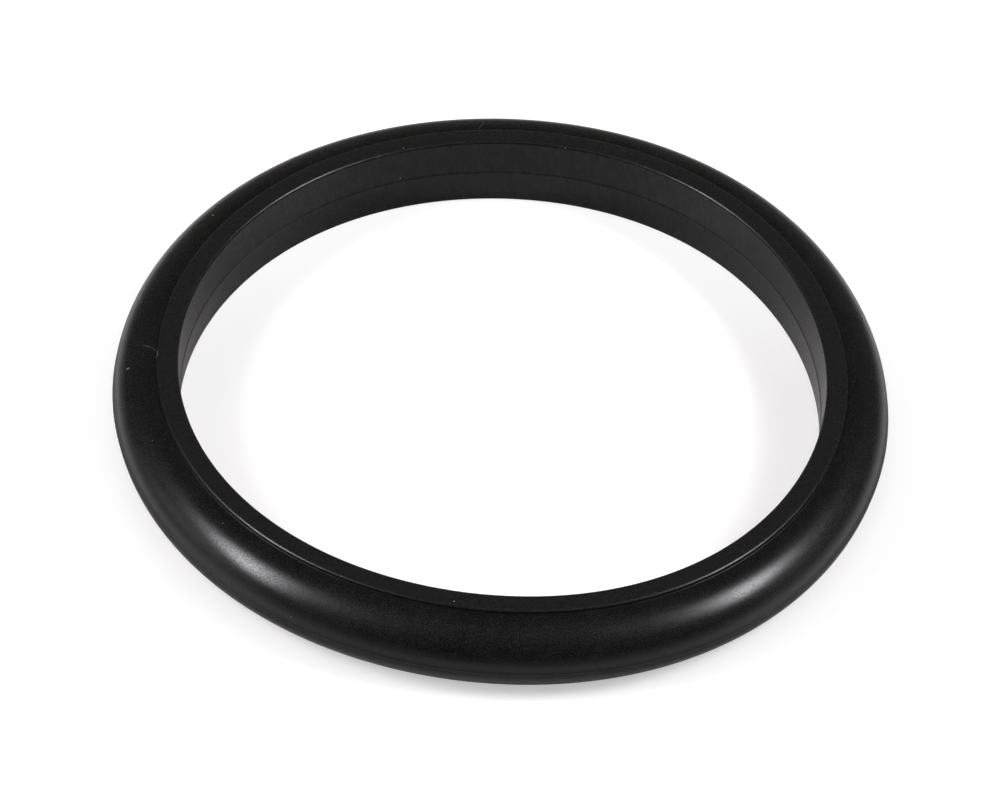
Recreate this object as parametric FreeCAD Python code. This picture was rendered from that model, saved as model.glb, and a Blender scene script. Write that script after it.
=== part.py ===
import FreeCAD, Part
import math
import os

# Seal ring for an oil pickup tube, moulded in one piece of black rubber.
# It has a drafted bore, a flat land round it on each face, and a half-round bead outside.
# Millimetres. The ring's axis is +Z, and the origin is the middle of the face it lies on.

# Driving dimensions
bore_diameter = 49.7        # at its narrowest, beside its parting line
section_width = 5.18        # from the bore to the outside of the bead, beside the parting lines
thickness = 6.3             # from land to land
bore_draft = 2.75           # degrees that the bore opens from its parting line to each face
bore_edge_break = 0.2       # chamfer where the bore meets a land
crease_offset = 0.34        # how far inside the bead's crown the edge of a land meets it
land_step = 0.15            # how far a land stands above the bead's crown
land_edge_slope = 58.0      # degrees that the edge of a land falls below level
bore_flash = 0.05           # how far the flash stands in from the bore's parting line
bead_flash = 0.05           # how far the flash stands out from the bead's parting line
flash_width = 0.28          # width of each flash line at its foot

# Derived sizes: the section is drawn about the parting plane, at height 0
land_height = thickness / 2
bore_radius = bore_diameter / 2
outside_radius = bore_radius + section_width
flash_height = flash_width / 2
bead_radius = land_height - land_step
bead_centre = outside_radius - bead_radius
crease_place = bead_centre - crease_offset
crease_height = math.sqrt(bead_radius ** 2 - crease_offset ** 2)
wall_top_height = land_height - bore_edge_break
wall_top_place = bore_radius + (wall_top_height - flash_height) * math.tan(math.radians(bore_draft))
land_edge_place = crease_place - (land_height - crease_height) / math.tan(math.radians(land_edge_slope))


def place(radius, height):
    """A point of the section, as radius from the ring's axis and height above the parting plane."""
    return FreeCAD.Vector(radius, 0, height)


def on_bead(height, side):
    """A point of the bead's circle at that height, on its inner side (-1) or its outer side (1)."""
    across = math.sqrt(bead_radius ** 2 - height ** 2)
    return place(bead_centre + side * across, height)


def line(start, end):
    return Part.LineSegment(start, end).toShape()


def upper_half():
    """The section's outline above the parting plane, from the bore's flash round to the bead's."""
    bore_flash_tip = place(bore_radius - bore_flash, 0)
    wall_foot = place(bore_radius, flash_height)
    wall_top = place(wall_top_place, wall_top_height)
    bore_edge = place(wall_top_place + bore_edge_break, land_height)
    land_edge = place(land_edge_place, land_height)
    crease = on_bead(crease_height, -1)
    bead_foot = on_bead(flash_height, 1)
    bead_flash_tip = place(outside_radius + bead_flash, 0)
    bead_crown = place(bead_centre, bead_radius)
    return [
        line(bore_flash_tip, wall_foot),
        line(wall_foot, wall_top),
        line(wall_top, bore_edge),
        line(bore_edge, land_edge),
        line(land_edge, crease),
        Part.Arc(crease, bead_crown, bead_foot).toShape(),
        line(bead_foot, bead_flash_tip),
    ]


def section():
    """The whole section: both mould halves are alike, so the lower outline mirrors the upper one."""
    upper = upper_half()
    lower = [edge.mirror(place(0, 0), place(0, 1)) for edge in upper]
    return Part.Face(Part.Wire(Part.__sortEdges__(upper + lower)))


def seal_ring():
    ring = section().revolve(place(0, 0), place(0, 1), 360)
    ring.translate(place(0, land_height))
    return ring


os.makedirs("parts", exist_ok=True)
seal = seal_ring()
seal.exportStep("parts/seal_ring.step")
print("seal_ring:", round(seal.Volume, 1), "cubic millimetres, valid:", seal.isValid())
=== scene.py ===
import math

import bmesh
import bpy
from mathutils import Matrix, Quaternion, Vector


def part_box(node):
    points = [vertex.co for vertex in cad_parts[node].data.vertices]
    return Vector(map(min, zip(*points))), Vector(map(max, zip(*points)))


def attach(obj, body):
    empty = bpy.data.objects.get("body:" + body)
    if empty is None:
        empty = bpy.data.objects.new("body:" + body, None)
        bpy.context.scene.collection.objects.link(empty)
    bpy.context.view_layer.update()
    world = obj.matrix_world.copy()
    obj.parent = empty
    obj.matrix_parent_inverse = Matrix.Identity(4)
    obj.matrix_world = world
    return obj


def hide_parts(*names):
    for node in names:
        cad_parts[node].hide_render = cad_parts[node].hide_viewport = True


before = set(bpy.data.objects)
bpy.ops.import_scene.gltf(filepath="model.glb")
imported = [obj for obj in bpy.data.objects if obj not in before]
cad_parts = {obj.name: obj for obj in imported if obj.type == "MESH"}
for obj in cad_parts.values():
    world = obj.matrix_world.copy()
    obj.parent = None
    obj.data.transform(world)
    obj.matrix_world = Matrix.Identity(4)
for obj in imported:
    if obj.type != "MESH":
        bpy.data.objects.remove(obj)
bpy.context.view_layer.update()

mm = 0.001
hair = 0.001 * mm                    # points nearer than this are the same point
noiseMiddle = 0.5                    # a noise's values lie evenly about this
dustRoom = 0.024 * mm                # the upper land lies this far under the CAD's, so that dust can lie on it
boxLow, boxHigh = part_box("seal_ring")
boxMiddle = (boxLow.z + boxHigh.z) / 2
landHeight = (boxHigh.z - boxLow.z - dustRoom) / 2      # from the mould's parting plane up to a land
midHeight = boxLow.z + landHeight                       # the parting plane
print("frame loaded, seal ring is", round((boxHigh.x - boxLow.x) / mm, 2), "mm across")


# Camera
view = dict(
    frameSize=(1000, 799),      # pixels
    distance=345.90 * mm,       # from the middle of the ring
    elevation=44.63,            # degrees above the floor
    roll=3.58,                  # degrees that the camera leans to its right
    lens=160.65,                # millimetres, on a sensor 36 mm wide
    sensor=36.0,
    aimRight=-0.10 * mm,        # how far the camera stands off the line to the ring's middle
    aimUp=-1.08 * mm,
    nearest=10 * mm,            # nothing nearer is drawn
)


def cameraAxes():
    tilt = math.radians(view["elevation"])
    lean = math.radians(view["roll"])
    back = Vector((0, -math.cos(tilt), math.sin(tilt)))
    level = Vector((1, 0, 0))
    upright = back.cross(level)
    right = level * math.cos(lean) + upright * math.sin(lean)
    place = Vector((0, 0, boxMiddle)) + back * view["distance"]
    place += level * view["aimRight"] + upright * view["aimUp"]
    return place, right, back.cross(right), back


def makeCamera():
    place, right, up, back = cameraAxes()
    turn = Matrix((right, up, back)).transposed()
    bpy.ops.object.camera_add(location=place, rotation=turn.to_euler())
    camera = bpy.context.object
    camera.name = "photoCamera"
    camera.data.sensor_width = view["sensor"]
    camera.data.lens = view["lens"]
    camera.data.clip_start = view["nearest"]
    bpy.context.scene.camera = camera


makeCamera()
print("camera set")


# Shader nodes written as sums and products
class Wire:
    def __init__(self, sheet, link):
        self.sheet = sheet
        self.link = link

    def __add__(self, other):
        return self.sheet.maths("ADD", self, other)

    def __sub__(self, other):
        return self.sheet.maths("SUBTRACT", self, other)

    def __rsub__(self, other):
        return self.sheet.maths("SUBTRACT", other, self)

    def __mul__(self, other):
        return self.sheet.maths("MULTIPLY", self, other)

    __radd__ = __add__
    __rmul__ = __mul__


class Sheet:                             # the node tree of a material, a lamp or the world
    def __init__(self, owner):
        owner.use_nodes = True
        self.owner = owner
        self.tree = owner.node_tree
        self.tree.nodes.clear()

    def add(self, kind, settings=None, values=None, output=0):
        node = self.tree.nodes.new(kind)
        for name, value in (settings or {}).items():
            setattr(node, name, value)
        for name, value in (values or {}).items():
            if isinstance(value, Wire):
                self.tree.links.new(value.link, node.inputs[name])
            else:
                node.inputs[name].default_value = value
        return Wire(self, node.outputs[output]) if node.outputs else None

    def maths(self, operation, first, second):
        return self.add("ShaderNodeMath", {"operation": operation}, {0: first, 1: second})

    def size(self, value):               # without its sign
        return self.add("ShaderNodeMath", {"operation": "ABSOLUTE"}, {0: value})

    def axis(self, place, number):       # one coordinate of a place
        return self.add("ShaderNodeSeparateXYZ", values={0: place}, output=number)

    def attribute(self, name):
        return self.add("ShaderNodeAttribute", {"attribute_name": name}, output="Fac")

    def noise(self, place, size, detail, roughness=0.5):
        values = {"Vector": place, "Scale": 1 / size, "Detail": detail, "Roughness": roughness}
        return self.add("ShaderNodeTexNoise", {"noise_dimensions": "3D"}, values)

    def spread(self, value, low, high, bottom=0.0, top=1.0):      # remaps low..high to bottom..top
        values = {"Value": value, "From Min": low, "From Max": high, "To Min": bottom, "To Max": top}
        return self.add("ShaderNodeMapRange", {"interpolation_type": "SMOOTHSTEP"}, values)

    def mixColours(self, factor, first, second):
        return self.add("ShaderNodeMix", {"data_type": "RGBA"}, {0: factor, 6: first, 7: second}, output=2)

    def shader(self, **values):
        sockets = {name.replace("_", " "): value for name, value in values.items()}
        return self.add("ShaderNodeBsdfPrincipled", values=sockets)

    def surface(self, shader):
        self.add("ShaderNodeOutputMaterial", values={"Surface": shader})
        return self.owner


# Moulded black rubber
rubber = dict(
    beadBlack=(0.0010, 0.0007, 0.0004, 1),
    landBlack=(0.0050, 0.0047, 0.0042, 1),      # the lands are a little greyer and rougher
    bloom=(0.0046, 0.0045, 0.0043, 1),          # the haze that comes to the surface in patches
    patches=5.0 * mm,                           # their size
    patchCut=(0.42, 0.68),                      # from bare rubber to a patch's middle
    patchShare=0.6,
    patchRoughness=0.04,
    grain=0.16 * mm,                            # size of the fine grain
    grainCut=(0.35, 0.75),
    grainShare=(0.5, 1.0),                      # how much of the haze it lets through
    grainRoughness=0.08,
    grainDepth=0.0009 * mm,
    mottle=0.42 * mm,                           # size of the fine mottling of the tone
    mottleDark=(0.0002, 0.0001, 0.0001, 1),
    mottleDarkCut=(0.50, 0.30),
    mottlePale=(0.0070, 0.0067, 0.0061, 1),
    mottlePaleCut=(0.50, 0.70),
    mottleShare=0.6,
    streak=(0.24 * mm, 0.24 * mm, 0.8 * mm),    # size of the streaks that run up and down the bore
    streakPale=(0.0140, 0.0133, 0.0122, 1),
    streakCut=(0.42, 0.66),
    streakDepth=0.0060 * mm,
    ior=1.45,
    beadRoughness=0.25,
    landRoughness=0.28,
    spots=0.05 * mm,                            # size of the fine matt spots
    spotCut=(0.53, 0.60),
    spotRoughness=0.60,
    stepRoughness=0.45,                         # the land's edge is dull where it falls to the crease
    stepGloss=0.18,
)


def makeRubber():
    finish = Sheet(bpy.data.materials.new("mouldedRubber"))
    place = finish.add("ShaderNodeTexCoord", output="Object")
    onLand, onBore, onStep = (finish.attribute(name) for name in ("onLand", "onBore", "onStep"))
    grain = finish.noise(place, rubber["grain"], detail=4, roughness=0.6)
    patches = finish.noise(place, rubber["patches"], detail=4, roughness=0.62)
    mottle = finish.noise(place, rubber["mottle"], detail=3, roughness=0.6)
    spots = finish.noise(place, rubber["spots"], detail=2)
    squeeze = tuple(mm / size for size in rubber["streak"])
    drawn = finish.add("ShaderNodeVectorMath", {"operation": "MULTIPLY"}, {0: place, 1: squeeze}, "Vector")
    streaks = finish.noise(drawn, mm, detail=3, roughness=0.6)

    haze = finish.spread(patches, *rubber["patchCut"], 0.0, rubber["patchShare"])
    haze = haze * finish.spread(grain, *rubber["grainCut"], *rubber["grainShare"])
    darker = finish.spread(mottle, *rubber["mottleDarkCut"], 0.0, rubber["mottleShare"])
    paler = finish.spread(mottle, *rubber["mottlePaleCut"], 0.0, rubber["mottleShare"])
    streaky = onBore * finish.spread(streaks, *rubber["streakCut"])
    colour = finish.mixColours(onLand, rubber["beadBlack"], rubber["landBlack"])
    colour = finish.mixColours(haze, colour, rubber["bloom"])
    colour = finish.mixColours(darker, colour, rubber["mottleDark"])
    colour = finish.mixColours(paler, colour, rubber["mottlePale"])
    colour = finish.mixColours(streaky, colour, rubber["streakPale"])

    roughness = rubber["beadRoughness"] + onLand * (rubber["landRoughness"] - rubber["beadRoughness"])
    matt = finish.spread(spots, *rubber["spotCut"])
    roughness = roughness + matt * (rubber["spotRoughness"] - roughness)
    roughness = roughness + (grain - noiseMiddle) * rubber["grainRoughness"]
    roughness = roughness + (patches - noiseMiddle) * rubber["patchRoughness"]
    relief = grain * rubber["grainDepth"] + onBore * (streaks * rubber["streakDepth"])
    bump = finish.add("ShaderNodeBump", values={"Height": relief, "Distance": 1.0, "Strength": 1.0})

    glossy = finish.shader(Base_Color=colour, Roughness=roughness, IOR=rubber["ior"], Normal=bump)
    dull = finish.shader(
        Base_Color=colour, Roughness=rubber["stepRoughness"], IOR=rubber["ior"],
        Specular_IOR_Level=rubber["stepGloss"], Normal=bump)
    return finish.surface(finish.add("ShaderNodeMixShader", values={0: onStep, 1: glossy, 2: dull}))


rubberFinish = makeRubber()
print("rubber finish made")


# The seal ring, as its section drawn round the bead and spun about the axis
seal = dict(
    outsideRadius=30.03 * mm,       # beside the bead's parting line
    beadRadius=2.89 * mm,
    landEdge=26.64 * mm,
    crease=26.73 * mm,              # where the land's edge comes down on the bead
    boreRadius=24.86 * mm,          # beside the bore's parting line
    boreDraft=2.75,                 # degrees
    boreFlash=0.06 * mm,            # how far a flash line stands out
    beadFlash=0.05 * mm,
    boreFlashFoot=0.13 * mm,        # how far above the parting line it starts
    beadFlashFoot=0.15 * mm,
    boreReturn=0.80 * mm,           # how far below the parting line the bore's has died away
    landEdgeRound=(0.26 * mm, 8),   # radius of a corner's rounding, and its steps
    boreEdgeRound=(0.25 * mm, 8),
    flashFootRound=(0.15 * mm, 4),
    flashCrestRound=(0.05 * mm, 5),
    beadSteps=120,
    turns=480,
    weld=0.0001 * mm,               # the spin's last turn meets its first this closely
    steepFrom=0.10 * mm,            # how far down its edge a land is steep and dull
    levelFrom=0.95,                 # how far up a surface is a land's, as a share of the land's height
    flatness=50,                    # how much the wide faces count for in the shading
    wave={                          # how far the ring is out of round, in mm, as cosine and sine
        1: (0.100, -0.060), 3: (-0.147, -0.111), 4: (-0.072, 0.006),
        5: (0.009, -0.012), 6: (0.015, 0.0),
    },
)

# The corners of its upper half, as radius and height above the parting plane
beadRadius, foot = seal["beadRadius"], seal["beadFlashFoot"]
beadCentre = seal["outsideRadius"] - beadRadius
boreSlope = math.tan(math.radians(seal["boreDraft"]))
crease = (seal["crease"], math.sqrt(beadRadius ** 2 - (seal["crease"] - beadCentre) ** 2))
landEdge = (seal["landEdge"], landHeight)
boreEdge = (seal["boreRadius"] + landHeight * boreSlope, landHeight)
boreFoot = (seal["boreRadius"], seal["boreFlashFoot"])
boreCrest = (seal["boreRadius"] - seal["boreFlash"], 0)
beadFoot = (beadCentre + math.sqrt(beadRadius ** 2 - foot ** 2), foot)
beadCrest = (seal["outsideRadius"] + seal["beadFlash"], 0)
boreEnd = (boreFoot[0] + (seal["boreReturn"] - boreFoot[1]) * boreSlope, -seal["boreReturn"])    # lower half


def pickPoints(piece, test):         # in edit mode, selects the points whose radius and height pass the test
    bpy.ops.mesh.select_all(action="DESELECT")
    mesh = bmesh.from_edit_mesh(piece.data)
    for point in mesh.verts:
        if test(math.hypot(point.co.x, point.co.y), point.co.z):
            point.select_set(True)
    mesh.select_flush_mode()
    bmesh.update_edit_mesh(piece.data)


def extrudeTo(piece, radius, height):         # draws the outline on from its selected end
    mesh = bmesh.from_edit_mesh(piece.data)
    here = [point.co for point in mesh.verts if point.select][0]
    step = (radius - here.x, 0, height - here.z)
    bpy.ops.mesh.extrude_region_move(TRANSFORM_OT_translate={"value": step})


def slopeTo(first, second):          # degrees that the outline climbs from one corner to the next
    return math.degrees(math.atan2(second[1] - first[1], second[0] - first[0]))


def roundCorner(piece, before, corner, after, rounding, steps):         # in both mould halves
    radius, height = corner
    pickPoints(piece, lambda x, z: abs(x - radius) < hair and abs(abs(z) - height) < hair)
    turn = abs(slopeTo(before, corner) - slopeTo(corner, after)) % 360
    reach = rounding * math.tan(math.radians(min(turn, 360 - turn)) / 2)
    bpy.ops.mesh.bevel(offset=reach, offset_type="OFFSET", segments=steps, profile=0.5, affect="VERTICES")


def drawUpperHalf():
    # the bead's circle, cut down to the stretch from the crease to the foot of its flash line
    bpy.ops.object.select_all(action="DESELECT")
    bpy.ops.mesh.primitive_circle_add(
        vertices=seal["beadSteps"], radius=beadRadius,
        location=(beadCentre, 0, 0), rotation=(math.pi / 2, 0, 0))
    piece = bpy.context.object
    piece.name = "sealRing"
    bpy.ops.object.transform_apply(location=True, rotation=True, scale=True)
    bpy.ops.object.mode_set(mode="EDIT")
    bpy.ops.mesh.select_mode(type="VERT")
    bpy.ops.mesh.select_all(action="SELECT")
    bpy.ops.mesh.bisect(plane_co=(crease[0], 0, 0), plane_no=(1, 0, 0), clear_inner=True)
    bpy.ops.mesh.select_all(action="SELECT")
    bpy.ops.mesh.bisect(plane_co=(0, 0, foot), plane_no=(0, 0, 1), clear_inner=True)

    # on from its inner end, the crease: land, bore wall and flash line
    outline = bmesh.from_edit_mesh(piece.data)
    innermost = min(point.co.x for point in outline.verts)
    lowest = min(point.co.z for point in outline.verts)
    pickPoints(piece, lambda x, z: x < innermost + hair)
    for corner in (landEdge, boreEdge, boreFoot, boreCrest):
        extrudeTo(piece, *corner)

    # and from its outer end: the foot and the crest of the bead's flash line
    pickPoints(piece, lambda x, z: x > beadCentre and z < lowest + hair)
    for corner in (beadFoot, beadCrest):
        extrudeTo(piece, *corner)
    bpy.ops.object.mode_set(mode="OBJECT")
    return piece


def addLowerHalf(piece):
    mirror = piece.modifiers.new("lowerHalf", "MIRROR")
    mirror.use_axis = (False, False, True)
    mirror.merge_threshold = hair
    bpy.ops.object.modifier_apply(modifier=mirror.name)

    # below the parting line the bore's flash dies away slowly into the wall
    bpy.ops.object.mode_set(mode="EDIT")
    pickPoints(piece, lambda x, z: x < beadCentre and boreEnd[1] < z < -hair)
    bpy.ops.mesh.delete(type="VERT")
    pickPoints(piece, lambda x, z: abs(x - boreCrest[0]) < hair)
    extrudeTo(piece, *boreEnd)
    outline = bmesh.from_edit_mesh(piece.data)
    loose = [point.co.copy() for point in outline.verts if len(point.link_edges) == 1]
    pickPoints(piece, lambda x, z: any(abs(x - point.x) + abs(z - point.z) < hair for point in loose))
    bpy.ops.mesh.edge_face_add()


def spinSection(piece):
    bpy.ops.mesh.select_all(action="SELECT")
    bpy.ops.mesh.spin(steps=seal["turns"], angle=2 * math.pi, center=(0, 0, 0), axis=(0, 0, 1))
    bpy.ops.mesh.select_all(action="SELECT")
    bpy.ops.mesh.remove_doubles(threshold=seal["weld"])
    bpy.ops.mesh.normals_make_consistent(inside=False)
    pickPoints(piece, lambda radius, z: abs(radius - crease[0]) < hair and abs(abs(z) - crease[1]) < 2 * hair)
    bpy.ops.mesh.select_mode(type="EDGE")
    bpy.ops.mesh.mark_sharp()
    bpy.ops.mesh.select_mode(type="VERT")
    bpy.ops.object.mode_set(mode="OBJECT")


def markFinishes(piece):             # which finish goes where
    names = ("onLand", "onBore", "onStep")
    for name in names:
        piece.data.attributes.new(name, "FLOAT", "POINT")
    onLand, onBore, onStep = (piece.data.attributes[name].data for name in names)
    for point in piece.data.vertices:
        radius, height = math.hypot(point.co.x, point.co.y), abs(point.co.z)
        inside = radius < crease[0]
        level = height > seal["levelFrom"] * landHeight
        steep = boreEdge[0] + hair < radius < crease[0] + hair and height < landHeight - seal["steepFrom"]
        onLand[point.index].value = 1.0 if inside and level else 0.0
        onBore[point.index].value = 1.0 if radius < boreEdge[0] and not level else 0.0
        onStep[point.index].value = 1.0 if steep else 0.0


def outOfRound(angle):               # how far the ring's centre line stands outside a true circle
    total = 0
    for count, (cosine, sine) in seal["wave"].items():
        total += cosine * math.cos(count * angle) + sine * math.sin(count * angle)
    return total * mm


def makeSeal():
    piece = drawUpperHalf()
    addLowerHalf(piece)
    roundCorner(piece, crease, landEdge, boreEdge, *seal["landEdgeRound"])
    roundCorner(piece, landEdge, boreEdge, boreFoot, *seal["boreEdgeRound"])
    roundCorner(piece, boreEdge, boreFoot, boreCrest, *seal["flashFootRound"])
    roundCorner(piece, beadCrest, beadFoot, (beadFoot[0], landHeight), *seal["flashFootRound"])
    roundCorner(piece, boreFoot, boreCrest, (boreFoot[0], boreEnd[1]), *seal["flashCrestRound"])
    roundCorner(piece, beadFoot, beadCrest, (beadFoot[0], -foot), *seal["flashCrestRound"])
    spinSection(piece)
    markFinishes(piece)

    # the bends of a ring that isn't quite round, and its place above the floor
    for point in piece.data.vertices:
        away = Vector((point.co.x, point.co.y, 0)).normalized()
        point.co += away * outOfRound(math.atan2(away.y, away.x))
        point.co.z += midHeight
    bpy.ops.object.shade_smooth()
    flat = piece.modifiers.new("flatLands", "WEIGHTED_NORMAL")
    flat.weight = seal["flatness"]
    flat.keep_sharp = True
    bpy.ops.object.modifier_apply(modifier=flat.name)
    piece.data.materials.clear()
    piece.data.materials.append(rubberFinish)
    return piece


sealRing = makeSeal()
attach(sealRing, "root")
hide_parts("seal_ring")
print("seal ring made,", len(sealRing.data.polygons), "faces")


# Lint and dust. Each lies where the camera's line through its place in the picture meets the ring.
lint = dict(
    fibre=(0.17, 0.165, 0.15, 1),
    fleck=(0.40, 0.39, 0.36, 1),
    uneven=0.05 * mm,               # size of the unevenness of their tone
    unevenCut=(0.4, 0.7),
    unevenShare=0.5,
    roughness=0.85,
    fibreSteps=6,                   # between two of its places
    fibreLift=0.5,                  # how far a fibre's axis stands off the rubber, in its own radii
    fibres=(                        # radius, then the places in pixels
        (0.013 * mm, (
            (143.6, 345.5), (149.5, 347.0), (154.8, 349.6), (157.6, 352.6), (157.3, 355.4), (155.3, 358.4))),
        (0.011 * mm, ((478.3, 128.6), (480.4, 126.6), (482.6, 124.8), (484.2, 121.8))),
    ),
    ruffle=0.25,                    # how uneven the specks are, in their own radii
    flatness=0.45,                  # of the specks on the bead
    landSpeck=0.010 * mm,           # half the thickness of a speck on a land
    landFacing=0.995,               # how level and how high the ring is where it's a land
    landFrom=0.98,
    speckThick=0.8,                 # what its ruffling leaves of a speck's thickness
    speckLift=0.2,                  # how far its middle stands off the rubber, in its own half thickness
    specks=(                        # place in pixels, and radius
        ((127.6, 369.0), 0.062 * mm), ((128.8, 368.1), 0.050 * mm), ((152.6, 440.6), 0.034 * mm),
        ((222.8, 523.2), 0.027 * mm), ((213.0, 215.2), 0.036 * mm), ((205.0, 238.0), 0.020 * mm),
        ((403.3, 148.2), 0.040 * mm), ((400.3, 178.3), 0.040 * mm), ((565.2, 148.2), 0.034 * mm),
        ((454.0, 601.2), 0.040 * mm), ((291.0, 617.0), 0.025 * mm), ((341.6, 576.2), 0.036 * mm),
    ),
)


def makeLintFinish():
    finish = Sheet(bpy.data.materials.new("lintAndDust"))
    place = finish.add("ShaderNodeTexCoord", output="Object")
    uneven = finish.noise(place, lint["uneven"], detail=2)
    darker = finish.spread(uneven, *lint["unevenCut"], 0.0, lint["unevenShare"])
    colour = finish.mixColours(finish.attribute("onFleck"), lint["fibre"], lint["fleck"])
    colour = finish.mixColours(darker, colour, lint["fibre"])
    return finish.surface(finish.shader(Base_Color=colour, Roughness=lint["roughness"]))


def onRing(spot):                    # where the ring shows at a place in the picture, and which way it faces
    eye, right, up, back = cameraAxes()
    wide, high = view["frameSize"]
    scale = view["sensor"] / view["lens"] / wide
    line = right * (spot[0] - wide / 2) * scale - up * (spot[1] - high / 2) * scale - back
    return sealRing.ray_cast(eye, line.normalized())[1:3]


def makeFibre(radius, spots):
    places = [onRing(spot) for spot in spots]
    bpy.ops.curve.primitive_bezier_curve_add()
    fibre = bpy.context.object
    strand = fibre.data.splines[0]
    strand.bezier_points.add(len(places) - len(strand.bezier_points))
    for knot, (place, facing) in zip(strand.bezier_points, places):
        knot.co = place + facing * radius * lint["fibreLift"]
        knot.handle_left_type = knot.handle_right_type = "AUTO"
    fibre.data.bevel_depth = radius
    fibre.data.bevel_resolution = 1
    fibre.data.use_fill_caps = True
    fibre.data.resolution_u = lint["fibreSteps"]
    bpy.ops.object.convert(target="MESH")
    return bpy.context.object


def makeSpeck(number, spot, radius):
    place, facing = onRing(spot)
    level = facing.z > lint["landFacing"] and place.z > midHeight + lint["landFrom"] * landHeight
    thick = lint["landSpeck"] / radius if level else lint["flatness"]
    bpy.ops.mesh.primitive_ico_sphere_add(subdivisions=2, radius=radius)
    speck = bpy.context.object
    bpy.ops.object.mode_set(mode="EDIT")
    bpy.ops.mesh.select_all(action="SELECT")
    bpy.ops.transform.vertex_random(offset=radius * lint["ruffle"], seed=number)
    bpy.ops.transform.resize(value=(1, 1, thick * lint["speckThick"]))
    bpy.ops.object.mode_set(mode="OBJECT")
    speck.rotation_euler = facing.to_track_quat("Z", "Y").to_euler()
    speck.location = place + facing * radius * thick * lint["speckLift"]
    bpy.ops.object.transform_apply(location=True, rotation=True, scale=True)
    return speck


def makeDust():
    bpy.ops.object.select_all(action="DESELECT")
    bits = [(makeFibre(radius, spots), 0.0) for radius, spots in lint["fibres"]]
    bits += [(makeSpeck(number, spot, radius), 1.0) for number, (spot, radius) in enumerate(lint["specks"])]
    bpy.ops.object.select_all(action="DESELECT")
    for bit, fleck in bits:
        marks = bit.data.attributes.new("onFleck", "FLOAT", "POINT")
        for mark in marks.data:
            mark.value = fleck
        bit.select_set(True)
    bpy.context.view_layer.objects.active = bits[0][0]
    bpy.ops.object.join()
    dust = bpy.context.object
    dust.name = "lintAndDust"
    bpy.ops.object.transform_apply(location=True, rotation=True, scale=True)
    bpy.ops.object.shade_smooth()
    dust.data.materials.clear()
    dust.data.materials.append(makeLintFinish())
    return dust


dust = makeDust()
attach(dust, "root")
print("lint and dust laid,", len(dust.data.polygons), "faces")


# Floor, world and softboxes
studio = dict(
    floorSize=12.0,
    floorRoughness=0.5,
    floorIor=1.45,
    paintedPoolPale=0.68,             # painted pool of light: how pale the floor is painted round the ring, and further out
    farFloor=0.22,
    paintedLightPool=(38 * mm, 54 * mm),
    paintedPoolCentre=(0, 4 * mm, 0),
    paintedBeadShadow=0.38,             # painted shadow: how much of the floor's paleness is left in the greyer ring painted close to the bead
    paintedBeadShadowRadius=32.1 * mm,
    paintedBeadShadowReach=(0.4 * mm, 3.5 * mm),
    paintedSideLight=1.25,              # painted light: the floor is painted paler on the left and the right, towards the softboxes
    paintedSideLightReach=(15 * mm, 36 * mm),
    paintedBoreShade=0.53,             # painted shade and light: inside the bore the floor is painted greyer towards the back, and paler to the right
    paintedBoreShadeReach=(2 * mm, 20 * mm),
    paintedBoreLightTilt=(0.85, 1.22),
    boreSpan=(-25 * mm, 25 * mm),
    floorLight=0.88,            # the light that falls on it
    whiteFloor=1.06,            # what the camera sees it lifted to, so that it reads as white
    warmth=(1.02, 0.99, 0.96),  # tint of the floor and the air, and of the softboxes
    coolness=(0.99, 0.98, 1.03),
    horizon=0.090,              # the air's glow, level with the ring and overhead
    zenith=0.110,
    airHeight=(0.25, 1.0),
    backGlow=0.13,              # and what is added low behind the ring
    backReach=(0.70, 0.95),
    reach=2.0,                  # how far the softboxes stand from the ring
    fadeReach=(0.0, 0.5),       # their light fades from the middle to the rim, in their own widths
    softboxes={                 # degrees, as the ring sees them
        "leftSoftbox": dict(azimuth=-166.3, elevation=43.2, lean=34, width=17.5, height=57, glow=34.5),
        "rightSoftbox": dict(azimuth=-4.0, elevation=46.2, lean=-41, width=17.5, height=50, glow=36.0),
        "leftFill": dict(azimuth=-174, elevation=10, lean=0, width=64, height=34, glow=1.15),
        "rightFill": dict(azimuth=-4, elevation=16, lean=0, width=60, height=34, glow=0.4),
    },
)


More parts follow.
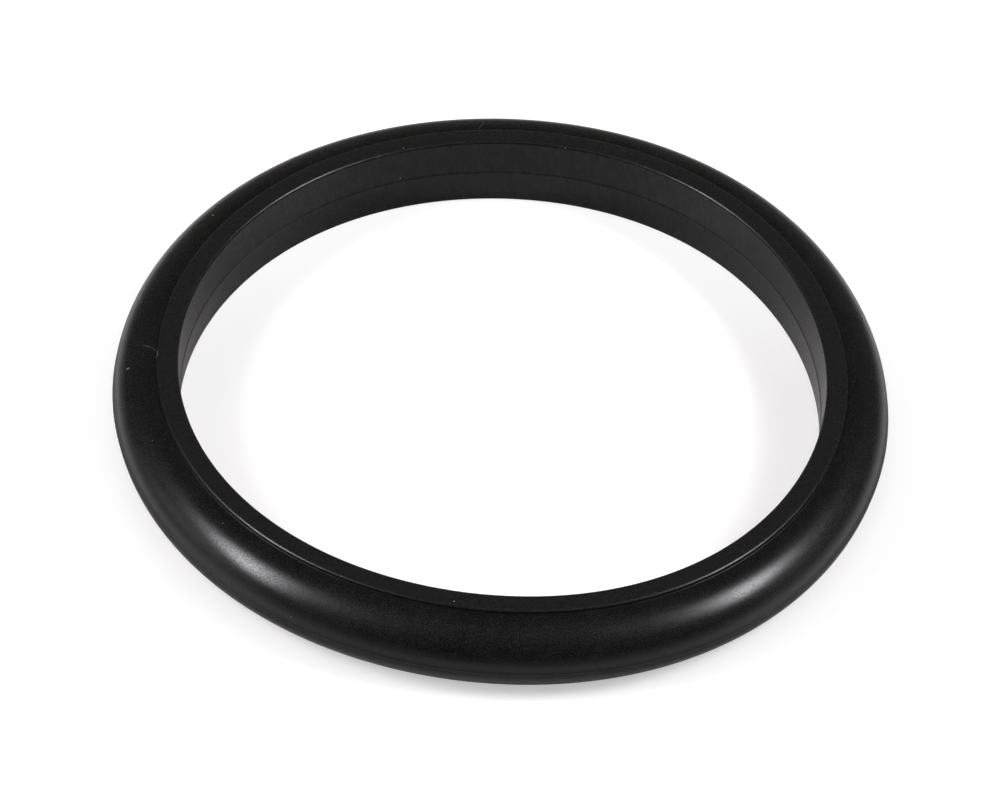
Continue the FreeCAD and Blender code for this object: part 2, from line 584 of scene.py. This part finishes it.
def makeFloor():
    bpy.ops.mesh.primitive_plane_add(size=studio["floorSize"], location=(0, 0, boxLow.z))
    floor = bpy.context.object
    floor.name = "floor"
    finish = Sheet(bpy.data.materials.new("paleFloor"))
    place = finish.add("ShaderNodeTexCoord", output="Object")
    centre = studio["paintedPoolCentre"]
    away = finish.add("ShaderNodeVectorMath", {"operation": "DISTANCE"}, {0: place, 1: centre}, "Value")
    # a painted pool of light: the floor is paler round the ring and darker further out
    paintedPool = finish.spread(away, *studio["paintedLightPool"], studio["paintedPoolPale"], studio["farFloor"])
    across, towardsBack = finish.axis(place, 0), finish.axis(place, 1)
    fromAxis = finish.add("ShaderNodeVectorMath", {"operation": "LENGTH"}, {0: place}, "Value")
    # a painted shadow: the floor is greyer in a ring close to the bead
    fromPaintedShadow = finish.size(fromAxis - studio["paintedBeadShadowRadius"])
    outside = finish.spread(fromPaintedShadow, *studio["paintedBeadShadowReach"], studio["paintedBeadShadow"], 1.0)
    # painted light: the floor is paler to the left and the right
    outside = outside * finish.spread(finish.size(across), *studio["paintedSideLightReach"], 1.0, studio["paintedSideLight"])
    # painted shade inside the bore, greyer towards the back, and painted light, paler to the right
    inside = finish.spread(towardsBack, *studio["paintedBoreShadeReach"], 1.0, studio["paintedBoreShade"])
    inside = inside * finish.spread(across, *studio["boreSpan"], *studio["paintedBoreLightTilt"])
    isOutside = finish.maths("GREATER_THAN", fromAxis, seal["crease"])
    # the floor's paleness, with its painted pool of light, painted shadow and painted light and shade in it
    pale = paintedPool * (inside + isOutside * (outside - inside))
    tinted = {number: pale * tint for number, tint in enumerate(studio["warmth"])}
    camera = finish.add("ShaderNodeLightPath", output="Is Camera Ray")
    lift = camera * (studio["whiteFloor"] - pale * studio["floorLight"])
    finish.surface(finish.shader(
        Base_Color=finish.add("ShaderNodeCombineColor", values=tinted),
        Roughness=studio["floorRoughness"], IOR=studio["floorIor"],
        Emission_Color=lift, Emission_Strength=1.0))
    floor.data.materials.append(finish.owner)


def makeWorld():
    world = bpy.data.worlds.new("studioAir")
    bpy.context.scene.world = world
    air = Sheet(world)
    heading = air.add("ShaderNodeTexCoord", output="Generated")
    glow = air.spread(air.axis(heading, 2), *studio["airHeight"], studio["horizon"], studio["zenith"])
    glow = glow + air.spread(air.axis(heading, 1), *studio["backReach"], 0.0, studio["backGlow"])
    dim = air.add("ShaderNodeBackground", values={"Color": (*studio["warmth"], 1), "Strength": glow})
    white = air.add("ShaderNodeBackground", values={"Color": (1, 1, 1, 1), "Strength": 1.0})
    camera = air.add("ShaderNodeLightPath", output="Is Camera Ray")
    mix = air.add("ShaderNodeMixShader", values={0: camera, 1: dim, 2: white})
    air.add("ShaderNodeOutputWorld", values={"Surface": mix})


def makeSoftbox(name, azimuth, elevation, lean, width, height, glow):
    turn, tilt = math.radians(azimuth), math.radians(elevation)
    away = Vector((math.cos(turn) * math.cos(tilt), math.sin(turn) * math.cos(tilt), math.sin(tilt)))
    facing = away.to_track_quat("Z", "Y") @ Quaternion((0, 0, 1), math.radians(lean))
    place = Vector((0, 0, midHeight)) + away * studio["reach"]
    bpy.ops.object.light_add(type="AREA", location=place, rotation=facing.to_euler())
    lamp = bpy.context.object
    lamp.name = name
    lamp.visible_camera = False
    lamp.data.shape = "RECTANGLE"
    lamp.data.size = 2 * studio["reach"] * math.tan(math.radians(width) / 2)
    lamp.data.size_y = 2 * studio["reach"] * math.tan(math.radians(height) / 2)
    lamp.data.energy = math.pi * lamp.data.size * lamp.data.size_y      # a glow of 1 all over

    # brightest in the middle, fading to nothing towards its rim
    fade = Sheet(lamp.data)
    spot = fade.add("ShaderNodeNewGeometry", output="Parametric")
    middle = (0.5, 0.5, 0)
    fromMiddle = fade.add("ShaderNodeVectorMath", {"operation": "DISTANCE"}, {0: spot, 1: middle}, "Value")
    strength = fade.spread(fromMiddle, *studio["fadeReach"], glow, 0.0)
    shine = fade.add("ShaderNodeEmission", values={"Color": (*studio["coolness"], 1), "Strength": strength})
    fade.add("ShaderNodeOutputLight", values={"Surface": shine})


makeFloor()
makeWorld()
for name, softbox in studio["softboxes"].items():
    makeSoftbox(name, **softbox)
print("studio lit")

bpy.context.scene.view_settings.view_transform = "Standard"
